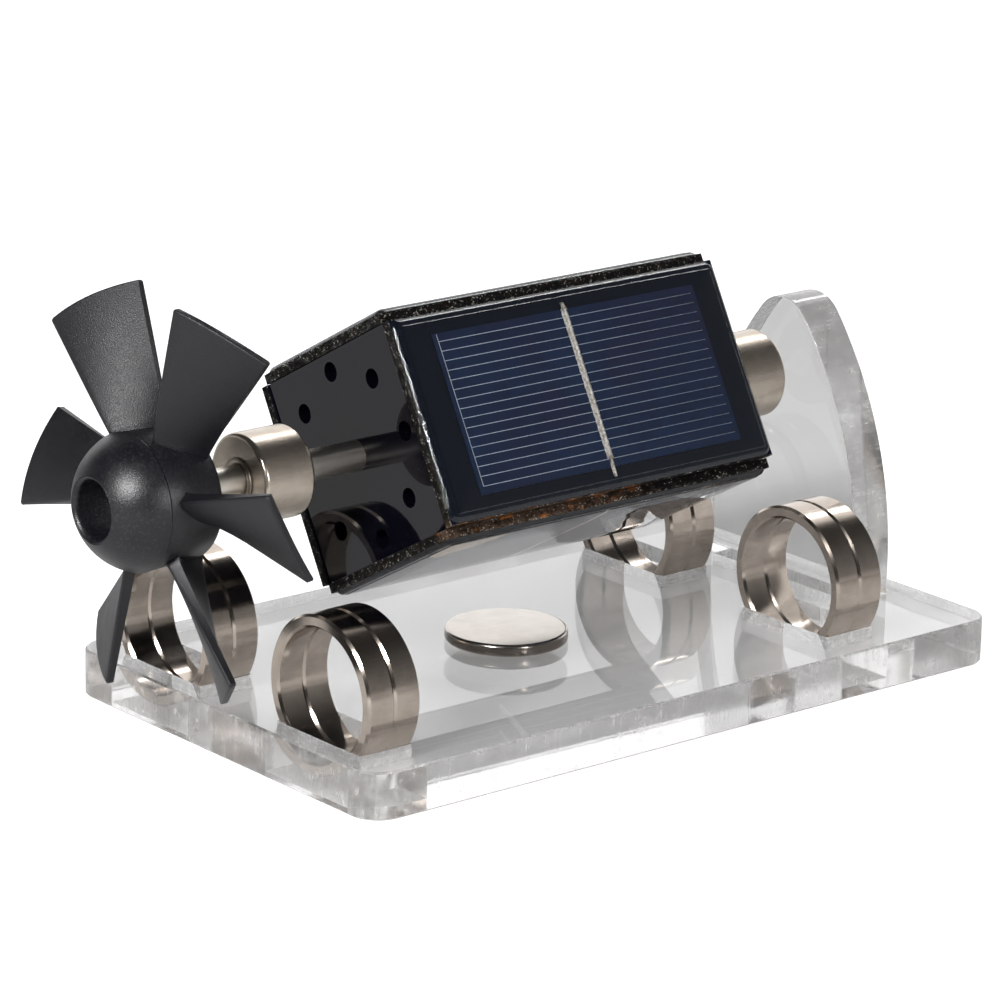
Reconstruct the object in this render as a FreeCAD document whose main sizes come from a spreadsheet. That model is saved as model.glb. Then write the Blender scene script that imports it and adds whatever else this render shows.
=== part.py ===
import FreeCAD, Part

import math
import os
import sys
from types import SimpleNamespace

import Sketcher
from FreeCAD import Placement, Rotation, Vector

# A classroom motor whose rotor floats over ring magnets and is turned by light.
# X runs along the rotor's shaft, from the fan at -X to the end plate at +X.
# Z is up, and the origin is the centre of the base sheet's underside.

DRIVING_SIZES = [
    ("base_width", 78, "base sheet, across the shaft"),
    ("sheet_thickness", 7.8, "clear sheet of the base and the end plate"),
    ("base_corner", 5, "radius of the base's corners"),
    ("edge_break", 0.3, "bevel along the base's edges"),
    ("slot_clearance", 0.1, "gap on each side of what stands in a slot"),
    ("left_inset", 9.2, "middle of the rings at the fan's end, from the base's end"),
    ("right_inset", 25.5, "middle of the rings at the plate's end, from the base's end"),
    ("plate_inset", 10.4, "end plate's middle, from the base's end"),
    ("plate_half_width", 19.8, "end plate, from its middle to its side"),
    ("plate_side", 5.7, "straight part of the end plate's sides, above the base"),
    ("plate_rise", 15.4, "point where the plate's side curves would meet, above the axis"),
    ("plate_tip_radius", 6.8, "curve at the end plate's top"),
    ("tab_inset", 4.8, "end plate's foot, in from its sides"),
    ("ring_outer", 25, "support ring magnet, outer diameter"),
    ("ring_wall", 2.1, "support ring magnet, outside to bore"),
    ("ring_thickness", 5, "support ring magnet, along the shaft"),
    ("ring_edge", 0.4, "bevel on a ring's edges"),
    ("ring_sink", 5.35, "how far a ring sits below the base's top"),
    ("ring_spread", 20.4, "ring's middle, from the shaft's plane"),
    ("field_diameter", 20.2, "disc magnet on the base"),
    ("field_thickness", 2.1, "disc magnet's height"),
    ("field_edge", 0.45, "disc magnet's edge radius"),
    ("field_back", 1.6, "disc magnet's middle, from the boards' middle towards the fan"),
    ("axis_height", 44.3, "shaft axis above the underside"),
    ("rest_turn", 29.5, "how far the solar front leans back at rest, in degrees"),
    ("shaft_diameter", 5, "rotor shaft"),
    ("shaft_in_fan", 11.6, "shaft inside the fan"),
    ("shaft_past", 1.2, "shaft past the rotor magnet at the plate's end"),
    ("shaft_edge", 0.4, "bevel on the shaft's ends"),
    ("fit_gap", 0.03, "radial gap where a glued piece slides on the shaft"),
    ("pivot_diameter", 2, "steel pivot set in the shaft's end"),
    ("pivot_depth", 8, "how deep the pivot sits in the shaft"),
    ("pivot_cone", 3, "length of the pivot's point"),
    ("pivot_nose", 0.25, "radius left at the pivot's tip"),
    ("thrust_gap", 0.15, "between the pivot and the end plate"),
    ("magnet_outer", 14.7, "rotor magnet, outer diameter"),
    ("magnet_length", 9.6, "rotor magnet, along the shaft"),
    ("magnet_edge", 0.7, "rotor magnet's edge radius"),
    ("left_lead", 0.5, "rotor magnet past its rings' middle, towards the fan"),
    ("right_lead", 1, "rotor magnet past its rings' middle, towards the plate"),
    ("bush_wall", 0.6, "between the shaft and a rotor magnet"),
    ("bush_recess", 0.6, "how far a magnet's bush sits inside its faces"),
    ("board_length", 67, "solar board, along the shaft"),
    ("board_width", 33.6, "solar board and its gap, across its face"),
    ("board_thickness", 1.6, "solar board"),
    ("board_gap", 0.05, "left at each side of a board"),
    ("left_bare", 13.2, "bare shaft from the boards to the rotor magnet, at the fan's end"),
    ("right_bare", 9, "bare shaft from the boards to the rotor magnet, at the plate's end"),
    ("cell_left", 6.9, "board left bare past the cell, at the fan's end"),
    ("cell_right", 5.9, "board left bare past the cell, at the plate's end"),
    ("cell_side", 3.65, "board left bare along the cell's sides"),
    ("cell_thickness", 0.25, "silicon cell"),
    ("ribbon_width", 1.2, "silver ribbon across the cell"),
    ("ribbon_side", 2.25, "board left bare past the ribbon's ends"),
    ("ribbon_shift", 0.3, "ribbon, from the board's middle towards the plate"),
    ("ribbon_thickness", 0.15, "silver ribbon"),
    ("cover_thickness", 1, "clear resin over a board"),
    ("cover_inset", 0.15, "resin's edge, inside the board's edge"),
    ("cover_edge", 0.6, "resin's edge radius"),
    ("pocket_gap", 0.03, "resin around the cell and the ribbon"),
    ("cap_thickness", 3, "rotor end plate"),
    ("cap_recess", 0.3, "rotor end plate, inside the boards' ends"),
    ("cap_gap", 0.1, "rotor end plate to the boards"),
    ("cap_hole", 3.2, "winding hole"),
    ("cap_hole_inset", 2.95, "winding hole's middle, from the boards' backs"),
    ("cap_hole_count", 8, "winding holes in an end plate"),
    ("former_wall", 1.5, "square tube that carries the coils, at its thinnest"),
    ("former_gap", 0.2, "former to the rotor end plates"),
    ("coil_width", 3.4, "one half coil, along its axis"),
    ("coil_build", 3, "height of the windings"),
    ("coil_reach", 13, "windings' outer side, from the shaft's axis"),
    ("coil_gap", 0.2, "between the two coils where they cross"),
    ("coil_corner", 2, "windings' outer corner radius"),
    ("lead_diameter", 0.8, "wire from a board to a coil"),
    ("lead_inset", 4, "wires, from the end of the shorter coil"),
    ("fan_gap", 10.3, "bare shaft between the fan and the rotor magnet"),
    ("fan_sphere", 11.2, "radius of the fan's nose"),
    ("fan_rim", 5, "radius of the nose's flat front"),
    ("fan_mouth", 4.2, "radius of the hollow in the nose"),
    ("fan_mouth_depth", 7, "depth of the hollow in the nose"),
    ("fan_mouth_bevel", 0.6, "bevel at the hollow's mouth"),
    ("fan_seam", 7, "seam of the nose, behind the front edge"),
    ("fan_seam_depth", 0.3, "groove at the seam"),
    ("fan_seam_width", 0.5, "groove at the seam"),
    ("fan_barrel", 10.7, "radius of the hub behind the seam"),
    ("fan_length", 17.3, "hub, nose to back"),
    ("fan_back", 10.3, "radius of the hub's back"),
    ("fan_back_edge", 0.8, "bevel at the hub's back"),
    ("fan_radius", 33.2, "blade tips, from the axis"),
    ("blade_depth", 7.5, "blade, along the shaft"),
    ("blade_span", 26, "blade, around the shaft, in degrees"),
    ("blade_back", 4.35, "blades' middle, ahead of the hub's back"),
    ("blade_sink", 2.2, "blade's root, inside the hub's barrel"),
    ("root_thickness", 2, "blade at its root"),
    ("tip_thickness", 1.2, "blade at its tip"),
    ("tip_corner", 1.2, "radius of a blade's outer corners"),
    ("fan_turn", 2.7, "first blade, turned past the solar top, in degrees"),
]
BLADES = 6
SIDES = 4
BLADE_SECTIONS = 5
SAME = 1e-4


class Size:
    """A length that knows both its number and the sheet formula behind it."""

    def __init__(self, number, formula):
        self.number = float(number)
        self.formula = formula

    def combine(self, other, sign, work):
        other = as_size(other)
        return Size(work(self.number, other.number), f"({self.formula} {sign} {other.formula})")

    def __add__(self, other):
        return self.combine(other, "+", lambda a, b: a + b)

    def __sub__(self, other):
        return self.combine(other, "-", lambda a, b: a - b)

    def __mul__(self, other):
        return self.combine(other, "*", lambda a, b: a * b)

    def __truediv__(self, other):
        return self.combine(other, "/", lambda a, b: a / b)

    def __neg__(self):
        return Size(-self.number, f"(0 - {self.formula})")

    def root(self):
        return Size(math.sqrt(self.number), f"sqrt({self.formula})")

    def slope(self, run):
        """The angle, in degrees, that rises by this size over a run."""
        angle = math.degrees(math.atan(self.number / run.number))
        return Size(angle, f"atan({self.formula} / {run.formula})")


def as_size(thing):
    if isinstance(thing, Size):
        return thing
    return Size(thing, repr(float(thing)))


def make_sheet(doc):
    """Puts the driving sizes in a sheet and gives them back by name."""
    sheet = doc.addObject("Spreadsheet::Sheet", "Sizes")
    named = SimpleNamespace()
    for row, (alias, number, meaning) in enumerate(DRIVING_SIZES, start=1):
        sheet.set(f"A{row}", alias)
        sheet.set(f"B{row}", str(number))
        sheet.set(f"C{row}", meaning)
        sheet.setAlias(f"B{row}", alias)
        setattr(named, alias, Size(number, f"Sizes.{alias}"))
    doc.recompute()
    return named


doc = FreeCAD.newDocument("LevitatingMotor")
dim = make_sheet(doc)
ZERO = as_size(0)
pieces = []

# Places along the shaft, worked out from the boards outwards
ring_distance = (
    dim.board_length + dim.left_bare + dim.right_bare + dim.magnet_length
    - dim.left_lead - dim.right_lead
)
base_length = ring_distance + dim.left_inset + dim.right_inset
left_rings = dim.left_inset - base_length / 2
right_rings = base_length / 2 - dim.right_inset
plate_middle = base_length / 2 - dim.plate_inset
left_magnet = left_rings - dim.left_lead - dim.magnet_length / 2
right_magnet = right_rings + dim.right_lead - dim.magnet_length / 2
boards_middle = left_magnet + dim.magnet_length + dim.left_bare + dim.board_length / 2
fan_front = left_magnet - dim.fan_gap - dim.fan_length
shaft_left = left_magnet - dim.fan_gap - dim.shaft_in_fan
shaft_right = right_magnet + dim.magnet_length + dim.shaft_past
cavity_half = dim.board_length / 2 - dim.cap_recess - dim.cap_thickness
ring_radius = dim.ring_outer / 2
ring_rise = ring_radius - dim.ring_sink
ring_chord = (ring_radius * ring_radius - ring_rise * ring_rise).root()
former_half = dim.shaft_diameter / 2 + dim.former_wall
outer_coil = cavity_half - dim.coil_gap
inner_coil = outer_coil - dim.coil_build - dim.coil_gap


# Ways of making things

def new_body(label):
    body = doc.addObject("PartDesign::Body", label)
    body.Label = label
    pieces.append(body)
    return body


def new_sketch(body, plane, name, offset=None, turn=None):
    """Empty sketch on one of the body's own planes, moved and turned by bound sizes."""
    offset = offset or (ZERO, ZERO, ZERO)
    sketch = body.newObject("Sketcher::SketchObject", name)
    origin_plane = [part for part in body.Origin.OriginFeatures if part.Role == plane][0]
    sketch.AttachmentSupport = [(origin_plane, "")]
    sketch.MapMode = "FlatFace"
    angle = turn.number if turn else 0
    numbers = Vector(*[part.number for part in offset])
    sketch.AttachmentOffset = Placement(numbers, Rotation(Vector(0, 0, 1), angle))
    for axis, part in zip("xyz", offset):
        if part is not ZERO:
            sketch.setExpression(f"AttachmentOffset.Base.{axis}", part.formula)
    if turn:
        sketch.setExpression("AttachmentOffset.Rotation.Angle", turn.formula)
    return sketch


def bind(sketch, constraint, size):
    index = sketch.addConstraint(constraint)
    sketch.setExpression(f"Constraints[{index}]", size.formula)


def hold(sketch, direction, edge, end, distance):
    """Keeps a point of an edge at a bound distance from the sketch's origin."""
    if distance is ZERO:
        axis = -2 if direction == "DistanceX" else -1
        sketch.addConstraint(Sketcher.Constraint("PointOnObject", edge, end, axis))
    else:
        place = Sketcher.Constraint(direction, -1, 1, edge, end, distance.number)
        bind(sketch, place, distance)


def flat(point):
    return Vector(point[0].number, point[1].number, 0)


def draw_outline(sketch, points, arc_centres=None):
    """Closed outline through the points.

    An edge is straight, or an arc if its number has a centre in arc_centres. An arc's
    ends and its centre's distance along the first axis settle the rest of it.
    """
    arc_centres = arc_centres or {}
    starts = []
    for index, point in enumerate(points):
        start = flat(point)
        end = flat(points[(index + 1) % len(points)])
        if index in arc_centres:
            centre = flat(arc_centres[index])
            outward = (start + end) / 2 - centre
            crown = centre + outward.normalize() * (start - centre).Length
            sketch.addGeometry(Part.Arc(start, crown, end), False)
        else:
            sketch.addGeometry(Part.LineSegment(start, end), False)
        runs_forward = (sketch.getPoint(index, 1) - start).Length < SAME
        starts.append(1 if runs_forward else 2)
    for index, start in enumerate(starts):
        following = (index + 1) % len(points)
        joint = Sketcher.Constraint("Coincident", index, 3 - start, following, starts[following])
        sketch.addConstraint(joint)
    for index, (along, up) in enumerate(points):
        hold(sketch, "DistanceX", index, starts[index], along)
        hold(sketch, "DistanceY", index, starts[index], up)
    for index, centre in arc_centres.items():
        hold(sketch, "DistanceX", index, 3, centre[0])


def draw_rectangle(sketch, length, width):
    """Rectangle centred on the sketch's origin."""
    across = length / 2
    up = width / 2
    draw_outline(sketch, [(-across, -up), (across, -up), (across, up), (-across, up)])


def draw_circle(sketch, radius):
    circle = Part.Circle(Vector(0, 0, 0), Vector(0, 0, 1), radius.number)
    sketch.addGeometry(circle, False)
    sketch.addConstraint(Sketcher.Constraint("Coincident", 0, 3, -1, 1))
    bind(sketch, Sketcher.Constraint("Radius", 0, radius.number), radius)


def pad(body, sketch, length):
    feature = body.newObject("PartDesign::Pad", sketch.Label + "_pad")
    feature.Profile = sketch
    feature.setExpression("Length", length.formula)
    doc.recompute()


def pocket(body, sketch, depth=None):
    """Cuts from the sketch the way its plane faces, right through unless a depth is given."""
    before = body.Shape.Volume
    feature = body.newObject("PartDesign::Pocket", sketch.Label + "_cut")
    feature.Profile = sketch
    feature.Reversed = True
    if depth is None:
        feature.Type = "ThroughAll"
    else:
        feature.setExpression("Length", depth.formula)
    doc.recompute()
    if body.Shape.Volume >= before:
        sys.exit(f"{body.Label}: {feature.Label} cuts nothing")
    return feature


def turned(label, points, arc_centres=None):
    """Body turned about its X axis from a profile of (along, radius) points."""
    body = new_body(label)
    sketch = new_sketch(body, "XY_Plane", label + "_profile")
    draw_outline(sketch, points, arc_centres)
    feature = body.newObject("PartDesign::Revolution", label + "_turned")
    feature.Profile = sketch
    feature.ReferenceAxis = (sketch, ["H_Axis"])
    feature.Angle = 360
    doc.recompute()
    return body


def edges_where(shape, wanted, longest=None):
    """Names of the edges whose ends and middle pass a test, up to a length."""
    names = []
    for index, edge in enumerate(shape.Edges, start=1):
        middle = edge.valueAt((edge.FirstParameter + edge.LastParameter) / 2)
        points = [vertex.Point for vertex in edge.Vertexes] + [middle]
        short_enough = longest is None or edge.Length < longest.number
        if short_enough and all(wanted(point) for point in points):
            names.append(f"Edge{index}")
    return names


def soften(body, kind, size, wanted, longest=None):
    """Fillet or chamfer on the edges of the body's last feature that pass a test."""
    base = body.Tip
    names = edges_where(base.Shape, wanted, longest)
    if not names:
        sys.exit(f"{body.Label}: no edges to soften")
    feature = body.newObject(f"PartDesign::{kind}", f"{body.Label}_{kind.lower()}")
    feature.Base = (base, names)
    feature.setExpression("Radius" if kind == "Fillet" else "Size", size.formula)
    doc.recompute()
    return feature


def close(first, second):
    return abs(first - second) < SAME


def put(piece, point, angle=None):
    """Places a piece by bound distances, turned about X by a bound angle."""
    numbers = Vector(*[part.number for part in point])
    lean = angle.number if angle else 0
    piece.Placement = Placement(numbers, Rotation(Vector(1, 0, 0), lean))
    for axis, part in zip("xyz", point):
        piece.setExpression(f"Placement.Base.{axis}", part.formula)
    if angle:
        piece.setExpression("Placement.Rotation.Angle", angle.formula)


# The stand

def base_plate():
    """Clear sheet with a slot for each pair of rings and one for the end plate."""
    body = new_body("base_plate")
    outline = new_sketch(body, "XY_Plane", "base_outline")
    draw_rectangle(outline, base_length, dim.base_width)
    pad(body, outline, dim.sheet_thickness)
    half_length = base_length.number / 2
    half_width = dim.base_width.number / 2

    def at_corner(point):
        return close(abs(point.x), half_length) and close(abs(point.y), half_width)

    def on_rim(point):
        level = close(point.z, 0) or close(point.z, dim.sheet_thickness.number)
        inside_x = abs(point.x) < half_length - dim.base_corner.number - SAME
        inside_y = abs(point.y) < half_width - dim.base_corner.number - SAME
        return level and not (inside_x and inside_y)

    soften(body, "Fillet", dim.base_corner, at_corner)
    soften(body, "Chamfer", dim.edge_break, on_rim)
    room = dim.slot_clearance * 2
    for end, middle in (("left", left_rings), ("right", right_rings)):
        for side, spread in (("front", -dim.ring_spread), ("rear", dim.ring_spread)):
            name = f"{end}_{side}_slot"
            slot = new_sketch(body, "XY_Plane", name, (middle, spread, ZERO))
            draw_rectangle(slot, dim.ring_thickness * 2 + room, ring_chord * 2 + room)
            pocket(body, slot)
    foot = new_sketch(body, "XY_Plane", "foot_slot", (plate_middle, ZERO, ZERO))
    foot_width = (dim.plate_half_width - dim.tab_inset) * 2
    draw_rectangle(foot, dim.sheet_thickness + room, foot_width + room)
    pocket(body, foot)


def end_plate():
    """Clear arch that stands on the base with its foot in a slot."""
    body = new_body("end_plate")
    sketch = new_sketch(body, "YZ_Plane", "arch")
    half = dim.plate_half_width
    foot = half - dim.tab_inset
    seat = dim.sheet_thickness
    spring = seat + dim.plate_side
    apex = dim.axis_height + dim.plate_rise
    rise = apex - spring
    lean = (rise * rise + half * half) / (half * 2) - half
    points = [
        (-foot, ZERO), (foot, ZERO), (foot, seat), (half, seat), (half, spring),
        (ZERO, apex), (-half, spring), (-half, seat), (-foot, seat),
    ]
    rising_side = points.index((half, spring))
    draw_outline(sketch, points, {rising_side: (-lean, spring), rising_side + 1: (lean, spring)})
    pad(body, sketch, dim.sheet_thickness)

    def at_apex(point):
        return close(point.y, 0) and close(point.z, apex.number)

    soften(body, "Fillet", dim.plate_tip_radius, at_apex)
    put(body, (plate_middle - dim.sheet_thickness / 2, ZERO, ZERO))


def support_ring(label, fan_side_face, spread):
    """One ring magnet on edge in its slot."""
    outer = ring_radius
    inner = outer - dim.ring_wall
    edge = dim.ring_edge
    long = dim.ring_thickness
    body = turned(label, [
        (ZERO, inner + edge), (edge, inner), (long - edge, inner), (long, inner + edge),
        (long, outer - edge), (long - edge, outer), (edge, outer), (ZERO, outer - edge),
    ])
    put(body, (fan_side_face, spread, dim.sheet_thickness + ring_rise))


def support_rings():
    for end, middle in (("left", left_rings), ("right", right_rings)):
        for side, spread in (("front", -dim.ring_spread), ("rear", dim.ring_spread)):
            faces = (("fan_side", middle - dim.ring_thickness), ("plate_side", middle))
            for which, face in faces:
                support_ring(f"ring_{end}_{side}_{which}", face, spread)


def field_magnet():
    """Disc that the coils push against, on the base under the rotor."""
    body = new_body("field_magnet")
    sketch = new_sketch(body, "XY_Plane", "disc")
    draw_circle(sketch, dim.field_diameter / 2)
    pad(body, sketch, dim.field_thickness)
    soften(body, "Fillet", dim.field_edge, lambda point: True)
    put(body, (boards_middle - dim.field_back, ZERO, dim.sheet_thickness))


# The rotor, drawn with its shaft along X and its solar top facing up

def on_rotor(piece, along, turn=None):
    """Puts a piece on the shaft's axis, turned with the rotor and by its own angle."""
    lean = -dim.rest_turn
    if turn:
        lean = turn - dim.rest_turn
    put(piece, (along, ZERO, dim.axis_height), lean)


def shaft():
    """Plain rod with a hole for the pivot in its end."""
    radius = dim.shaft_diameter / 2
    edge = dim.shaft_edge
    hole = dim.pivot_diameter / 2 + dim.fit_gap
    long = shaft_right - shaft_left
    body = turned("rotor_shaft", [
        (ZERO, ZERO), (long - dim.pivot_depth, ZERO), (long - dim.pivot_depth, hole),
        (long, hole), (long, radius - edge), (long - edge, radius), (edge, radius),
        (ZERO, radius - edge),
    ])
    on_rotor(body, shaft_left)


def pivot():
    """Steel point that bears on the end plate."""
    tip = plate_middle - dim.sheet_thickness / 2 - dim.thrust_gap
    start = shaft_right - dim.pivot_depth
    long = tip - start
    radius = dim.pivot_diameter / 2
    body = turned("pivot_point", [
        (ZERO, ZERO), (long, ZERO), (long, dim.pivot_nose), (long - dim.pivot_cone, radius),
        (ZERO, radius),
    ])
    on_rotor(body, start)


def rotor_magnet(end, start):
    """Ring magnet on the shaft and the bush between them."""
    inner = dim.shaft_diameter / 2 + dim.bush_wall
    outer = dim.magnet_outer / 2
    long = dim.magnet_length
    corners = [(ZERO, inner), (long, inner), (long, outer), (ZERO, outer)]
    magnet = turned(f"rotor_magnet_{end}", corners)

    def on_outside(point):
        return close(math.hypot(point.y, point.z), outer.number)

    soften(magnet, "Fillet", dim.magnet_edge, on_outside)
    on_rotor(magnet, start)
    bore = dim.shaft_diameter / 2 + dim.fit_gap
    skin = inner - dim.fit_gap
    bush_long = long - dim.bush_recess * 2
    corners = [(ZERO, bore), (bush_long, bore), (bush_long, skin), (ZERO, skin)]
    bush = turned(f"magnet_bush_{end}", corners)
    on_rotor(bush, start + dim.bush_recess)


def rotor_cap(end, fan_side_face):
    """Square black end plate of the rotor with its ring of winding holes."""
    body = new_body(f"rotor_end_plate_{end}")
    square = new_sketch(body, "YZ_Plane", f"square_{end}")
    side = dim.board_width - dim.cap_gap * 2
    draw_rectangle(square, side, side)
    pad(body, square, dim.cap_thickness)
    bore = new_sketch(body, "YZ_Plane", f"bore_{end}")
    draw_circle(bore, dim.shaft_diameter / 2 + dim.fit_gap)
    pocket(body, bore)
    off_centre = (dim.board_width / 2 - dim.cap_hole_inset, ZERO, ZERO)
    hole_sketch = new_sketch(body, "YZ_Plane", f"hole_{end}", off_centre)
    draw_circle(hole_sketch, dim.cap_hole / 2)
    hole = pocket(body, hole_sketch)
    before = body.Shape.Volume
    ring = body.newObject("PartDesign::PolarPattern", f"holes_{end}")
    ring.Originals = [hole]
    ring.Axis = (square, ["N_Axis"])
    ring.setExpression("Occurrences", dim.cap_hole_count.formula)
    ring.Angle = 360
    body.Tip = ring
    doc.recompute()
    if body.Shape.Volume >= before:
        sys.exit(f"{body.Label}: the holes were not repeated")
    on_rotor(body, fan_side_face)


def side_turn(number):
    """Angle of one side of the rotor, numbered from 1, against its top."""
    return as_size((number - 2) * 360 / SIDES)


def slab(label, size, lift, shift=ZERO):
    """Flat rectangular body of (length, width, thickness) that lies on a height."""
    body = new_body(label)
    sketch = new_sketch(body, "XY_Plane", label + "_outline", (shift, ZERO, lift))
    draw_rectangle(sketch, size[0], size[1])
    pad(body, sketch, size[2])
    return body


def board_stack(number):
    """Solar board with its cell, ribbon and resin, on one side of the rotor."""
    seat = dim.board_width / 2
    face = seat + dim.board_thickness
    cell_face = face + dim.cell_thickness
    width = dim.board_width - dim.board_gap * 2
    inset = dim.cover_inset * 2
    board_size = (dim.board_length, width, dim.board_thickness)
    cell_length = dim.board_length - dim.cell_left - dim.cell_right
    cell_shift = (dim.cell_left - dim.cell_right) / 2
    cell_size = (cell_length, dim.board_width - dim.cell_side * 2, dim.cell_thickness)
    ribbon_length = dim.board_width - dim.ribbon_side * 2
    ribbon_size = (dim.ribbon_width, ribbon_length, dim.ribbon_thickness)
    cover_size = (dim.board_length - inset, width - inset, dim.cover_thickness)
    board = slab(f"solar_board_{number}", board_size, seat)
    cell = slab(f"solar_cell_{number}", cell_size, face, cell_shift)
    ribbon = slab(f"cell_ribbon_{number}", ribbon_size, cell_face, dim.ribbon_shift)
    cover = slab(f"resin_cover_{number}", cover_size, face)
    crown = (face + dim.cover_thickness).number
    soften(cover, "Fillet", dim.cover_edge, lambda point: close(point.z, crown))
    hollow(cover, "cell", cell_size, (cell_shift, ZERO, face), dim.cell_thickness)
    both = dim.cell_thickness + dim.ribbon_thickness
    hollow(cover, "ribbon", ribbon_size, (dim.ribbon_shift, ZERO, face), both)
    for piece in (board, cell, ribbon, cover):
        on_rotor(piece, boards_middle, side_turn(number))


def hollow(cover, name, size, middle, depth):
    """Room under the resin for a flat thing on the board."""
    gap = dim.pocket_gap
    sketch = new_sketch(cover, "XY_Plane", f"{name}_room_{cover.Label}", middle)
    draw_rectangle(sketch, size[0] + gap * 2, size[1] + gap * 2)
    pocket(cover, sketch, depth + gap)


def coil_former():
    """Square tube on the shaft that the coils are wound over."""
    body = new_body("coil_former")
    half_length = cavity_half - dim.former_gap
    square = new_sketch(body, "YZ_Plane", "former_square")
    draw_rectangle(square, former_half * 2, former_half * 2)
    pad(body, square, half_length * 2)
    bore = new_sketch(body, "YZ_Plane", "former_bore")
    draw_circle(bore, dim.shaft_diameter / 2 + dim.fit_gap)
    pocket(body, bore)
    on_rotor(body, boards_middle - half_length)


def half_coil(label, half_length, lift, turn):
    """Flat rectangular winding that lies along the shaft, beside the former."""
    size = (half_length * 2, dim.coil_reach * 2, dim.coil_width)
    body = slab(label, size, lift)

    def at_corner(point):
        return close(abs(point.x), half_length.number) and close(abs(point.y), dim.coil_reach.number)

    soften(body, "Fillet", dim.coil_corner, at_corner)
    window = new_sketch(body, "XY_Plane", label + "_window", (ZERO, ZERO, lift))
    inside = dim.coil_build * 2
    draw_rectangle(window, size[0] - inside, size[1] - inside)
    pocket(body, window, dim.coil_width)
    on_rotor(body, boards_middle, turn)


def coils():
    """Two crossed coils, each wound in two halves beside the former."""
    below = -(former_half + dim.coil_width)
    for name, half_length, turn in (("a", outer_coil, None), ("b", inner_coil, as_size(90))):
        half_coil(f"coil_{name}_half_1", half_length, former_half, turn)
        half_coil(f"coil_{name}_half_2", half_length, below, turn)


def panel_leads(number):
    """The two wires from a board's back to the coil beneath it."""
    aside = former_half + dim.coil_width / 2
    wires = []
    for name, across in (("plus", aside), ("minus", -aside)):
        wire = doc.addObject("Part::Cylinder", f"wire_{name}_{number}")
        wire.setExpression("Radius", (dim.lead_diameter / 2).formula)
        wire.setExpression("Height", (dim.board_width / 2 - dim.coil_reach).formula)
        put(wire, (dim.lead_inset - inner_coil, across, dim.coil_reach))
        wires.append(wire)
    pair = doc.addObject("Part::Compound", f"panel_leads_{number}")
    pair.Label = f"panel_leads_{number}"
    pair.Links = wires
    pieces.append(pair)
    on_rotor(pair, boards_middle, side_turn(number))


def fan():
    """Moulded fan: a ball-nosed hub and six twisted blades."""
    sphere = dim.fan_sphere
    nose_centre = (sphere * sphere - dim.fan_rim * dim.fan_rim).root()
    seam_reach = nose_centre - dim.fan_seam
    seam_radius = (sphere * sphere - seam_reach * seam_reach).root()
    groove = seam_radius - dim.fan_seam_depth
    after_groove = dim.fan_seam + dim.fan_seam_width
    bore = dim.shaft_diameter / 2 + dim.fit_gap
    long = dim.fan_length
    edge = dim.fan_back_edge
    points = [
        (ZERO, dim.fan_mouth + dim.fan_mouth_bevel), (ZERO, dim.fan_rim),
        (dim.fan_seam, seam_radius), (dim.fan_seam, groove), (after_groove, groove),
        (after_groove, dim.fan_barrel), (long - edge, dim.fan_back),
        (long, dim.fan_back - edge), (long, bore), (dim.fan_mouth_depth, bore),
        (dim.fan_mouth_depth, dim.fan_mouth), (dim.fan_mouth_bevel, dim.fan_mouth),
    ]
    nose = points.index((ZERO, dim.fan_rim))
    body = turned("fan", points, {nose: (nose_centre, ZERO)})
    blade = add_blade(body)
    repeat_blade(body, blade)
    trim_tips(body)
    round_blades(body)
    on_rotor(body, fan_front, -dim.fan_turn)


def add_blade(body):
    """One blade, lofted through flat sections that turn more the farther out they are."""
    middle = dim.fan_length - dim.blade_back
    span = dim.blade_span * math.radians(1)
    root = dim.fan_barrel - dim.blade_sink
    reach = dim.fan_radius + dim.tip_thickness - root
    thinning = dim.root_thickness - dim.tip_thickness
    sections = []
    for step in range(BLADE_SECTIONS):
        share = step / (BLADE_SECTIONS - 1)
        radius = root + reach * share
        around = radius * span
        chord = (dim.blade_depth * dim.blade_depth + around * around).root()
        twist = (-around).slope(dim.blade_depth)
        place = (middle, ZERO, radius)
        section = new_sketch(body, "XY_Plane", f"blade_section_{step + 1}", place, twist)
        draw_rectangle(section, chord, dim.root_thickness - thinning * share)
        sections.append(section)
    doc.recompute()
    blade = body.newObject("PartDesign::AdditiveLoft", "blade")
    blade.Profile = sections[0]
    blade.Sections = sections[1:]
    doc.recompute()
    return blade


def repeat_blade(body, blade):
    before = body.Shape.Volume
    ring = body.newObject("PartDesign::PolarPattern", "blades")
    ring.Originals = [blade]
    shaft_line = [part for part in body.Origin.OriginFeatures if part.Role == "X_Axis"][0]
    ring.Axis = (shaft_line, [""])
    ring.Occurrences = BLADES
    ring.Angle = 360
    body.Tip = ring
    doc.recompute()
    if body.Shape.Volume <= before:
        sys.exit("fan: the blades were not repeated")


def trim_tips(body):
    """Turns the blade ends to the fan's radius."""
    sketch = new_sketch(body, "XY_Plane", "tip_trim")
    inside = dim.fan_radius
    outside = dim.fan_radius * 2
    far = dim.fan_length * 2
    draw_outline(sketch, [(-far, inside), (far, inside), (far, outside), (-far, outside)])
    before = body.Shape.Volume
    groove = body.newObject("PartDesign::Groove", "tips_turned")
    groove.Profile = sketch
    groove.ReferenceAxis = (sketch, ["H_Axis"])
    groove.Angle = 360
    doc.recompute()
    if body.Shape.Volume >= before:
        sys.exit("fan: the tips were not trimmed")


def round_blades(body):
    """Rounds the blades' outer corners, whose edges are as short as the tip is thick."""
    slack = dim.tip_thickness.number / 10

    def at_tip(point):
        return abs(math.hypot(point.y, point.z) - dim.fan_radius.number) < slack

    soften(body, "Fillet", dim.tip_corner, at_tip, dim.root_thickness)


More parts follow.
